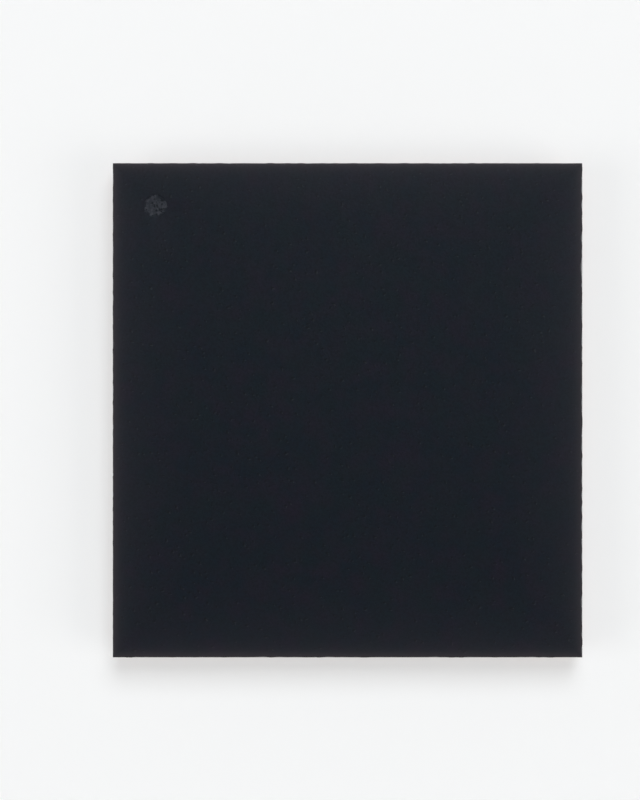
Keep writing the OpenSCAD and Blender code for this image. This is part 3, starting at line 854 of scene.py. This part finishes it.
    def build(self) -> bpy.types.Object:
        """Closes the rings with one point at the spot's middle and one under the film.

        Returns:
            The film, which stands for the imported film.
        """
        rings, zones = self.rows()
        count, around, _ = rings.shape
        poles = [[*self.mark, self.high[2] - self.mark_depth], [*self.centre, self.low[2]]]
        points = np.concatenate([rings.reshape(-1, 3), poles])
        starts = (0, (count - 1) * around)
        caps = [fan_faces(count * around + i, start + np.arange(around)) for i, start in enumerate(starts)]
        faces = ring_faces(count, around).tolist() + np.concatenate(caps).tolist()
        piece = link_piece(
            "marking_film_worn", points, faces, FILM_CREASE_DEG, "marking_film")
        laser = piece.data.attributes.new("laser_zone", "FLOAT", "POINT")
        laser.data.foreach_set("value", np.concatenate([zones, [1.0, 0.0]]).astype(np.float32))
        return piece

    def dress(self, piece: bpy.types.Object, effects: SharedEffects) -> None:
        """Gives the film its finish."""
        piece.data.materials.append(MarkingFilmFinish("satin_marking_film").material(effects))


@dataclass
class CoverFilm:
    """The clear amber film over the copper, open round every ball, with a deeper border outside it."""

    pitch: float = 0.40
    columns: int = 13
    rows: int = 14
    side_margin: float = 0.45
    top_margin: float = 0.37
    opening_d: float = 0.172
    street_w: float = 0.03
    corner_cut: float = 0.07
    border_w: float = 0.036
    clear: float = 0.0012
    per_side: int = 4

    def __post_init__(self) -> None:
        """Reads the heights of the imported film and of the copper, and the die's sides."""
        low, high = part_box("polyimide_cover")
        self.outer, self.deep = low.z / MM, high.z / MM - self.clear
        self.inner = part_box("ground_ring")[0].z / MM - self.clear
        die_low, die_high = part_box("silicon_die")
        self.low, self.high = np.array(die_low)[:2] / MM, np.array(die_high)[:2] / MM

    def cells(self) -> tuple[np.ndarray, np.ndarray]:
        """Lays one square cell round each ball, each with a round hole.

        Each cell has four rings of points: the hole and the square on the outer face, then the square and
        the hole on the inner face. The square's points are spread evenly along its sides, and the hole's
        points lie in the same directions.

        Returns:
            All points, and the faces between the rings.
        """
        side, half = np.linspace(-0.5, 0.5, self.per_side, endpoint=False), np.full(self.per_side, 0.5)
        sides = ((side, -half), (half, side), (-side, half), (-half, -side))
        square = np.concatenate([np.column_stack(pair) for pair in sides])
        round_hole = square / np.linalg.norm(square, axis=1, keepdims=True) * self.opening_d / 2
        x = self.low[0] + self.side_margin + self.pitch * np.arange(self.columns)
        y = self.high[1] - self.top_margin - self.pitch * np.arange(self.rows)
        centres = np.stack(np.meshgrid(x, y), axis=-1).reshape(-1, 1, 2)
        hole, edge = centres + round_hole, centres + square * self.pitch
        rings = ((hole, self.outer), (edge, self.outer), (edge, self.inner), (hole, self.inner))
        stack = np.stack([at_height(flat, height) for flat, height in rings], axis=1)
        number = np.arange(stack[..., 0].size).reshape(stack.shape[:3])
        beside = np.roll(number, -1, axis=2)
        faces = [np.stack([number[:, a], beside[:, a], beside[:, b], number[:, b]], axis=-1).reshape(-1, 4)
                 for a, b in ((0, 1), (2, 3), (3, 0))]
        return stack.reshape(-1, 3), np.concatenate(faces)

    def outline(self, unit: np.ndarray, inset: float) -> np.ndarray:
        """Stretches a unit square to the die's sides, drawn in, and moves its points onto the cut corners.

        Args:
            unit: The points on the unit square's boundary.
            inset: How far the sides are drawn in.

        Returns:
            The points on the outline.
        """
        low, high = self.low + inset, self.high - inset
        flat = low + unit * (high - low)
        near = np.minimum(flat - low, high - flat).sum(axis=1)
        short = np.clip(self.corner_cut - near, 0, None)[:, None] / 2
        return flat + short * np.where(flat < (low + high) / 2, 1, -1)

    def border(self) -> tuple[np.ndarray, np.ndarray]:
        """Carries the cells' outer boundary out to the film's cut-cornered edge and round it.

        The rings run from the boundary to the outline on the outer face, up the outline, in along the deeper
        border, and back to the boundary on the inner face.

        Returns:
            The border's points, and its faces.
        """
        size = np.array([self.columns, self.rows]) * self.pitch
        first = np.array([self.low[0] + self.side_margin - self.pitch / 2,
                          self.high[1] - self.top_margin + self.pitch / 2 - size[1]])
        counts = (self.columns * self.per_side, self.rows * self.per_side)
        across, upward = (np.arange(count) / count for count in counts)
        sides = ((across, 0.0), (1.0, upward), (1 - across, 1.0), (0.0, 1 - upward))
        unit = np.concatenate([np.column_stack(np.broadcast_arrays(*side)) for side in sides])
        inside, edge = first + unit * size, self.outline(unit, self.street_w)
        step = self.outline(unit, self.street_w + self.border_w)
        rings = ((inside, self.outer), (edge, self.outer), (edge, self.deep), (step, self.deep),
                 (step, self.inner), (inside, self.inner))
        points = np.concatenate([at_height(flat, height) for flat, height in rings])
        return points, ring_faces(len(rings), len(inside))

    def build(self) -> bpy.types.Object:
        """Welds the cells and the border into one closed film.

        Returns:
            The film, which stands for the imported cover.
        """
        cell_points, cell_faces = self.cells()
        border_points, border_faces = self.border()
        points = np.concatenate([cell_points, border_points])
        faces = np.concatenate([cell_faces, border_faces + len(cell_points)])
        welded = np.round(points, WELD_DIGITS)
        _, kept, place = np.unique(welded, axis=0, return_index=True, return_inverse=True)
        faces = place.reshape(-1)[faces].tolist()
        return link_piece(
            "amber_cover_film", points[kept], faces, FILM_CREASE_DEG, "polyimide_cover")

    def dress(self, piece: bpy.types.Object, effects: SharedEffects) -> None:
        """Gives the film its finish."""
        piece.data.materials.append(CoverFilmFinish("clear_amber_film").material(effects))


@dataclass
class CopperPattern:
    """The plated copper: every packed pattern with sloped edges, and a dimple over every via.

    A dimple's profile runs from its ring over its lip to its middle, and then to the middle of its back.
    Each height is counted in lips above the copper's face, towards the die.
    """

    patterns: tuple[str, ...] = (
        "ground_ring", "column_planes", "upper_power_planes", "lower_power_planes", "left_edge_traces",
        "top_edge_traces", "right_edge_traces", "bottom_edge_traces", "inner_pads")
    slope_w: float = 0.0100
    slope_d: float = 0.0025
    dip_d: float = 0.004
    foot_w: float = 0.013
    foot_d: float = 0.0008
    least_mitre: float = 0.4
    cuts: int = 16
    cut: float = 0.75
    least_left: float = 0.1
    pattern_crease_deg: float = 8.0
    via_r: float = 0.015
    via_slack: float = 0.002
    lip: float = 0.0005
    lip_share: float = 0.8
    profile: tuple[float, ...] = (1.0, -1.0, -0.2, 1.0)
    around: int = 10
    dimple_crease_deg: float = 30.0

    def __post_init__(self) -> None:
        """Reads the heights of the copper's outer face and of the vias' ends."""
        low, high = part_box("ground_ring")
        self.face, self.end = low.z / MM, high.z / MM

    @staticmethod
    def read(name: str) -> tuple[np.ndarray, np.ndarray]:
        """Reads a packed pattern, and takes points at one place as one.

        Args:
            name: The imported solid's name.

        Returns:
            Its points and its triangles.
        """
        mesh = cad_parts[name].data
        raw, corners = np.empty(3 * len(mesh.vertices)), np.empty(len(mesh.loops), dtype=int)
        mesh.vertices.foreach_get("co", raw)
        mesh.loops.foreach_get("vertex_index", corners)
        welded = np.round(raw.reshape(-1, 3) / MM, WELD_DIGITS)
        points, place = np.unique(welded, axis=0, return_inverse=True)
        return points, place.reshape(-1)[corners].reshape(-1, 3)

    @staticmethod
    def level_faces(points: np.ndarray, triangles: np.ndarray, level: float) -> np.ndarray:
        """Returns which triangles lie flat at one height."""
        return (np.abs(points[triangles][..., 2] - level) < FLAT_SLACK).all(axis=1)

    @staticmethod
    def doubled_areas(corners: np.ndarray) -> np.ndarray:
        """Returns twice the signed area of flat triangles: the cross product of two of their sides."""
        one, two = corners[:, 1] - corners[:, 0], corners[:, 2] - corners[:, 0]
        return one[:, 0] * two[:, 1] - one[:, 1] * two[:, 0]

    def sloped(self, points: np.ndarray, triangles: np.ndarray, level: float, sink: float,
               width: float) -> tuple[np.ndarray, np.ndarray, np.ndarray]:
        """Slopes the edges of a pattern's flat faces at one height.

        The outline of those faces, the edges that no second face there shares, is carried inwards along the
        mitre of the two edges at each point, by the slope's width, and the faces hang on this inner line. At
        a narrow place, where a triangle would lose nearly all its area, the width at its corners is cut down
        step by step. The outline itself is moved up or down, and a four-sided face joins each edge of it to
        the inner line.

        Args:
            points: The pattern's points.
            triangles: Its triangles, outwards.
            level: The faces' height.
            sink: How far up the outline is moved.
            width: The slope's usual width.

        Returns:
            The points with the inner line's, the triangles and the sloped faces.
        """
        flat, xy = self.level_faces(points, triangles, level), points[:, :2]
        faces = triangles[flat]
        edges = np.stack([faces, np.roll(faces, -1, axis=1)], axis=-1).reshape(-1, 2)
        there, back = edges @ [len(points), 1], edges @ [1, len(points)]
        start, end = edges[~np.isin(there, back)].T
        step = xy[end] - xy[start]
        inwards = np.column_stack([step[:, 1], -step[:, 0]]) / np.linalg.norm(step, axis=1, keepdims=True)
        before, after = np.zeros((2, len(points), 2))
        before[end], after[start] = inwards, inwards
        alike = 1 + (before * after).sum(axis=1, keepdims=True)
        carried = (before + after) / np.maximum(alike, self.least_mitre) * width
        whole = self.doubled_areas(xy[faces])
        for _ in range(self.cuts):
            left = self.doubled_areas((xy + carried)[faces]) * np.sign(whole)
            carried[np.unique(faces[left < self.least_left * np.abs(whole)])] *= self.cut
        line, number = np.unique(start), np.arange(len(points))
        number[line] = len(points) + np.arange(len(line))
        moved, hung = points.copy(), triangles.copy()
        moved[line, 2] += sink
        hung[flat] = number[faces]
        inner = points[line] + at_height(carried[line], 0.0)
        slopes = np.column_stack([number[end], number[start], start, end])
        return np.concatenate([moved, inner]), hung, slopes

    def via_axes(self, points: np.ndarray, triangles: np.ndarray) -> np.ndarray:
        """Finds a pattern's vias: a triangle on a via's round end has the via's axis as its circumcentre.

        Args:
            points: The pattern's points.
            triangles: Its triangles.

        Returns:
            The x and y of each axis.
        """
        ends = points[triangles[self.level_faces(points, triangles, self.end)], :2]
        one, two = ends[:, 1] - ends[:, 0], ends[:, 2] - ends[:, 0]
        square_one, square_two = (one ** 2).sum(axis=1), (two ** 2).sum(axis=1)
        to_axis = np.column_stack([two[:, 1] * square_one - one[:, 1] * square_two,
                                   one[:, 0] * square_two - two[:, 0] * square_one])
        to_axis /= 2 * self.doubled_areas(ends)[:, None]
        axes = (ends[:, 0] + to_axis)[np.abs(np.linalg.norm(to_axis, axis=1) - self.via_r) < self.via_slack]
        axes = np.unique(np.round(axes, AXIS_DIGITS), axis=0)
        apart = np.linalg.norm(axes[:, None] - axes, axis=2)
        return axes[~np.tril(apart < self.via_r, -1).any(axis=1)]

    def dimples(self, axes: np.ndarray) -> tuple[np.ndarray, list[list[int]]]:
        """Turns one small dished profile round every via's axis.

        Args:
            axes: The x and y of the axes.

        Returns:
            The points and the faces.
        """
        turn = 2 * np.pi * np.arange(self.around) / self.around
        ring = np.column_stack([np.cos(turn), np.sin(turn)]) * self.via_r
        flat = np.concatenate([ring, self.lip_share * ring, np.zeros((2, 2))])
        height = self.face + self.lip * np.repeat(self.profile, [self.around, self.around, 1, 1])
        heights = np.broadcast_to(height[:, None], (len(axes), len(flat), 1))
        points = np.concatenate([axes[:, None] + flat, heights], axis=2)
        outer, middle = np.arange(self.around), 2 * self.around
        fans = np.concatenate([fan_faces(middle, outer + self.around), fan_faces(middle + 1, outer)])
        shift = len(flat) * np.arange(len(axes))[:, None, None]
        walls = (ring_faces(2, self.around) + shift).reshape(-1, 4)
        return points.reshape(-1, 3), walls.tolist() + (fans + shift).reshape(-1, 3).tolist()

    def build(self) -> list[bpy.types.Object]:
        """Slopes the edges of every pattern and the feet of its dips, and makes the dimples.

        Returns:
            The pieces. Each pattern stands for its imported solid, and the dimples come last.
        """
        pieces, axes, dip = [], [], self.face + self.dip_d
        for name in self.patterns:
            points, triangles = self.read(name)
            axes.append(self.via_axes(points, triangles))
            points, triangles, slopes = self.sloped(points, triangles, self.face, self.slope_d, self.slope_w)
            points, triangles, feet = self.sloped(points, triangles, dip, -self.foot_d, self.foot_w)
            faces = triangles.tolist() + slopes.tolist() + feet.tolist()
            piece = link_piece(f"{name}_plated", points, faces, self.pattern_crease_deg, name)
            # Each face's tone: 0 on the flat copper, 1 on the slopes for a painted highlight, -1 on the
            # dips' feet for painted shade.
            tones = np.repeat([0.0, 1.0, -1.0], [len(triangles), len(slopes), len(feet)])
            line = piece.data.attributes.new("edge_highlight_and_shade", "FLOAT", "FACE")
            line.data.foreach_set("value", tones.astype(np.float32))
            pieces.append(piece)
        points, faces = self.dimples(np.concatenate(axes))
        return pieces + [link_piece("via_dimples", points, faces, self.dimple_crease_deg)]

    def dress(self, pieces: list[bpy.types.Object], effects: SharedEffects) -> None:
        """Gives the patterns the copper's finish, and the last piece, the dimples, a darker one.

        Args:
            pieces: The pieces as they were built.
            effects: The shared effects.
        """
        copper = CopperFinish("plated_copper").material(effects)
        dark = PlatedFinish(
            "via_dimple_copper", deep=(0.085, 0.017, 0.005), bright=(0.20, 0.05, 0.012), scale=30.0)
        for piece in pieces[:-1]:
            piece.data.materials.append(copper)
        pieces[-1].data.materials.append(dark.material(effects))


def paint_nodes(names: Iterable[str], material: bpy.types.Material) -> None:
    """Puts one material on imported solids, whose meshes stay as they are.

    Args:
        names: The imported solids' names.
        material: Their material.
    """
    for name in names:
        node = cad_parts[name]
        node.data.materials.clear()
        node.data.materials.append(material)
        LOG.info("dressed %s in %s", name, material.name)


@dataclass
class DieStack:
    """The silicon die with its metal seal ring and contact pads."""

    die: str = "silicon_die"
    metal: tuple[str, ...] = ("seal_ring", "die_contact_pads")

    def dress(self, effects: SharedEffects) -> None:
        """Gives the die a sawn finish and its metal a bright one.

        Args:
            effects: The shared effects.
        """
        paint_nodes([self.die], SiliconFinish("sawn_silicon").material(effects))
        bright = PlatedFinish(
            "die_top_metal", deep=(0.50, 0.49, 0.47), bright=(0.78, 0.77, 0.75), scale=14.0)
        paint_nodes(self.metal, bright.material(effects))


@dataclass
class BaseFilm:
    """The film between the die and the copper."""

    node: str = "polyimide_base"

    def dress(self, effects: SharedEffects) -> None:
        """Gives the film its finish."""
        paint_nodes([self.node], BaseFilmFinish("brown_base_film").material(effects))


@dataclass
class BallGrid:
    """The under-bump pads and the solder balls on them, row by row."""

    row_letters: str = "abcdefghjklmnp"

    def dress(self, effects: SharedEffects) -> None:
        """Gives the pads and the balls their finishes.

        Args:
            effects: The shared effects.
        """
        pads = PlatedFinish(
            "under_bump_plating", deep=(0.50, 0.25, 0.11), bright=(0.80, 0.46, 0.25), scale=16.0)
        paint_nodes([f"under_bump_pads_row_{row}" for row in self.row_letters], pads.material(effects))
        solder = SolderFinish("reflowed_solder").material(effects)
        paint_nodes([f"solder_balls_row_{row}" for row in self.row_letters], solder)


@dataclass(frozen=True)
class Lamp:
    """One soft square lamp that looks at the chip. Its power is in watts."""

    name: str
    place: Triple
    size: float
    power: float
    tint: Colour

    def hang(self) -> None:
        """Adds the lamp, turned towards the chip."""
        light = bpy.data.lights.new(self.name, "AREA")
        light.size, light.energy, light.color = self.size, self.power, self.tint
        lamp = add_object(self.name, light)
        lamp.location = self.place
        lamp.rotation_euler = (-lamp.location).to_track_quat("-Z", "Y").to_euler()
        lamp.visible_camera = False


@dataclass
class Studio:
    """A pale floor that sweeps up into a low round wall, soft lamps, and a camera above the chip."""

    floor_rings: Triple = (0.12, 0.05, 0.012)
    floor_r: float = 0.20
    sweep_r: float = 0.06
    sweep_steps: int = 12
    wall_h: float = 0.07
    around: int = 96
    floor_tone: float = 0.91
    white_share: float = 0.42
    sky_tint: Colour = (0.97, 0.985, 1.0)
    sky_level: float = 0.20
    image: tuple[int, int] = (640, 800)
    px_per_mm: float = 82.46
    chip_px: Pair = (347.6, 410.3)
    lens: float = 110.0
    sensor: float = 36.0
    clip: Pair = (0.002, 2.0)
    lamps: tuple[Lamp, ...] = (
        Lamp("key", (0.02, 0.10, 0.173), 0.10, 0.230, (0.95, 0.98, 1.0)),
        Lamp("left", (-0.16, -0.04, 0.12), 0.12, 0.11, (1.0, 0.99, 0.97)),
        Lamp("right", (0.16, -0.06, 0.12), 0.12, 0.11, (1.0, 0.985, 0.96)))

    def floor(self) -> bpy.types.Object:
        """Turns a profile round the vertical: flat, then a quarter circle up, then a straight wall.

        Returns:
            The floor.
        """
        turn = np.linspace(np.pi / 2, 0, self.sweep_steps)
        sweep = self.floor_r + self.sweep_r * np.sin(turn)
        reach = np.concatenate([[self.floor_r + self.sweep_r], sweep, self.floor_rings])
        height = np.concatenate([[self.sweep_r + self.wall_h], self.sweep_r * (1 - np.cos(turn)),
                                 np.zeros(len(self.floor_rings))])
        angle = np.linspace(0, 2 * np.pi, self.around, endpoint=False)
        points = np.stack([np.outer(reach, np.cos(angle)), np.outer(reach, np.sin(angle)),
                           np.repeat(height[:, None], self.around, axis=1)], axis=-1).reshape(-1, 3)
        middle = (len(reach) - 1) * self.around + np.arange(self.around)
        mesh = bpy.data.meshes.new("pale_floor")
        faces = [middle.tolist()] + ring_faces(len(reach), self.around).tolist()
        mesh.from_pydata(points.tolist(), [], faces)
        mesh.shade_smooth()
        floor = add_object("pale_floor", mesh)
        return floor

    def dress_floor(self, floor: bpy.types.Object) -> None:
        """Paints the floor pale, and lifts it towards white where the camera, gloss or clear pieces see it.

        Args:
            floor: The floor.
        """
        material, graph = blank_material("pale_floor_paint")
        pale = {"Base Color": (self.floor_tone,) * 3, "Roughness": 0.7, "Specular IOR Level": 0.2}
        paint = graph.add("BsdfPrincipled", pale)
        white = graph.add("Emission", {"Color": (1.0, 1.0, 1.0), "Strength": 1.0})
        path = graph.add("LightPath").outputs
        seen = graph.math("MAXIMUM", path["Is Camera Ray"],
                          graph.math("MAXIMUM", path["Is Glossy Ray"], path["Is Transmission Ray"]))
        share = graph.times(seen, self.white_share)
        mix = graph.add("MixShader", {0: share, 1: paint.outputs[0], 2: white.outputs[0]})
        graph.add("OutputMaterial", {"Surface": mix.outputs[0]})
        floor.data.materials.append(material)

    def light(self) -> None:
        """Hangs the lamps and sets an even, dim sky."""
        for lamp in self.lamps:
            lamp.hang()
        world = bpy.data.worlds.new("studio_sky")
        world.use_nodes = True
        sky = world.node_tree.nodes["Background"]
        sky.inputs["Color"].default_value = (*self.sky_tint, 1.0)
        sky.inputs["Strength"].default_value = self.sky_level
        bpy.context.scene.world = world

    def aim(self) -> None:
        """Hangs the camera so that the chip's face has the picture's scale and place."""
        (low, high), (wide, tall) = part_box("marking_film"), self.image
        data = bpy.data.cameras.new("camera")
        data.lens, data.sensor_width = self.lens, self.sensor
        data.clip_start, data.clip_end = self.clip
        camera = add_object("camera", data)
        pixel = MM / self.px_per_mm
        camera.location = ((low.x + high.x) / 2 + (wide / 2 - self.chip_px[0]) * pixel,
                           (low.y + high.y) / 2 - (tall / 2 - self.chip_px[1]) * pixel,
                           high.z + tall * pixel * self.lens / self.sensor)
        bpy.context.scene.camera = camera

    def build(self) -> None:
        """Makes the floor, the light and the camera."""
        self.dress_floor(self.floor())
        self.light()
        self.aim()
        bpy.context.scene.view_settings.view_transform = "Standard"


def main() -> None:
    """Builds and dresses the copper and the two films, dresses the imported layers, and makes the studio."""
    logging.basicConfig(level=logging.INFO, format="%(name)s: %(message)s")
    effects = SharedEffects()
    copper = CopperPattern()
    pieces = copper.build()
    copper.dress(pieces, effects)
    for film in (MarkingFilm(), CoverFilm()):
        pieces.append(film.build())
        film.dress(pieces[-1], effects)
    for piece in pieces:
        LOG.info("built %s, %d faces", piece.name, len(piece.data.polygons))
    for packed in (DieStack(), BaseFilm(), BallGrid()):
        packed.dress(effects)
    Studio().build()


if __name__ == "__main__":
    main()
